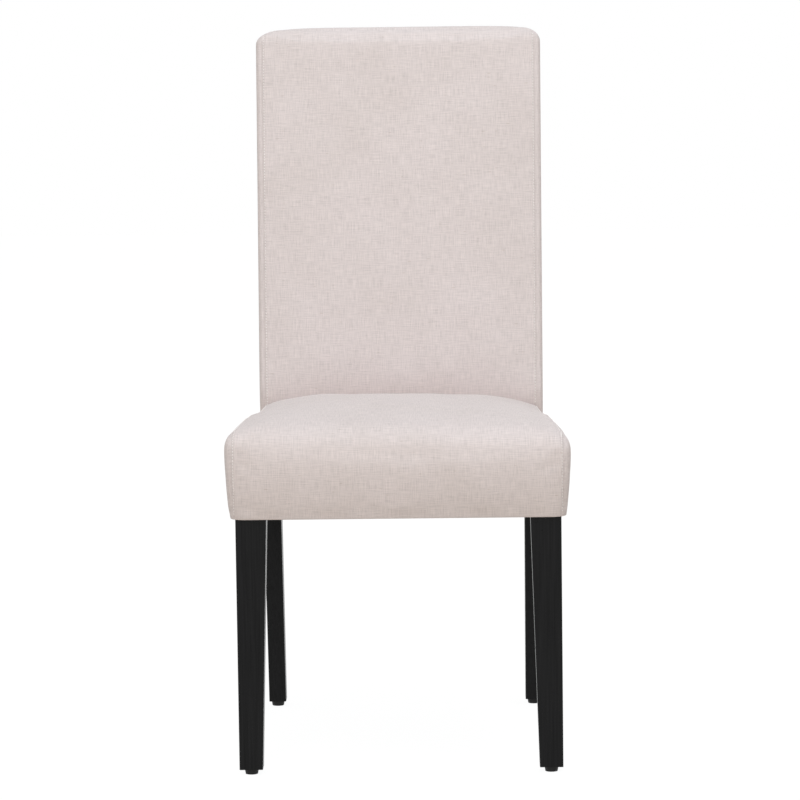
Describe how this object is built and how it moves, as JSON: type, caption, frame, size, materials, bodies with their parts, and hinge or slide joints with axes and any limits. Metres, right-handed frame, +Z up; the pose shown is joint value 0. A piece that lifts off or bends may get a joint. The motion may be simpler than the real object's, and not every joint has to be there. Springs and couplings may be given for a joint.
{
  "type": "upholstered dining chair",
  "caption": "Armless dining chair with a tall reclined padded back and a crowned tight seat in cream linen-look cloth, on black square tapered wooden legs.",
  "frame": {"origin": "on the floor under the middle of the overall box", "axes": "+Z up, -Y the way the chair faces, +X to the right of a person in front of it"},
  "size_m": [0.4686, 0.5749, 1],
  "materials": {
    "leg_wood": "black satin lacquer with a faint grain",
    "frame_wood": "bare sawn wood",
    "webbing": "woven strap",
    "foam": "open-cell foam",
    "linen": "cream slubby plain-weave linen look",
    "dust_cloth": "black non-woven cloth",
    "steel": "zinc plated",
    "glide_plastic": "black moulded plastic"
  },
  "bodies": {
    "root": {"front_leg_left": "leg_wood", "front_leg_right": "leg_wood", "rear_leg_left": "leg_wood", "rear_leg_right": "leg_wood", "seat_front_rail": "frame_wood", "seat_rear_rail": "frame_wood", "seat_side_rail_left": "frame_wood", "seat_side_rail_right": "frame_wood", "corner_block_front_left": "frame_wood", "corner_block_front_right": "frame_wood", "corner_block_rear_left": "frame_wood", "corner_block_rear_right": "frame_wood", "back_top_rail": "frame_wood", "back_middle_rail": "frame_wood", "back_bottom_rail": "frame_wood", "back_board": "frame_wood", "seat_webbing_lengthwise": "webbing", "seat_webbing_crosswise": "webbing", "back_webbing": "webbing", "seat_foam": "foam", "back_foam": "foam", "back_rear_padding": "foam", "seat_cover_top": "linen", "seat_cover_side_left": "linen", "seat_cover_side_right": "linen", "back_cover_front": "linen", "back_cover_rear": "linen", "back_cover_side_left": "linen", "back_cover_side_right": "linen", "dust_cover": "dust_cloth", "front_leg_bolts": "steel", "seat_joint_bolts": "steel", "seat_joint_inserts": "steel", "glide_front_left": "glide_plastic", "glide_front_right": "glide_plastic", "glide_rear_left": "glide_plastic", "glide_rear_right": "glide_plastic"}
  },
  "joints": []
}
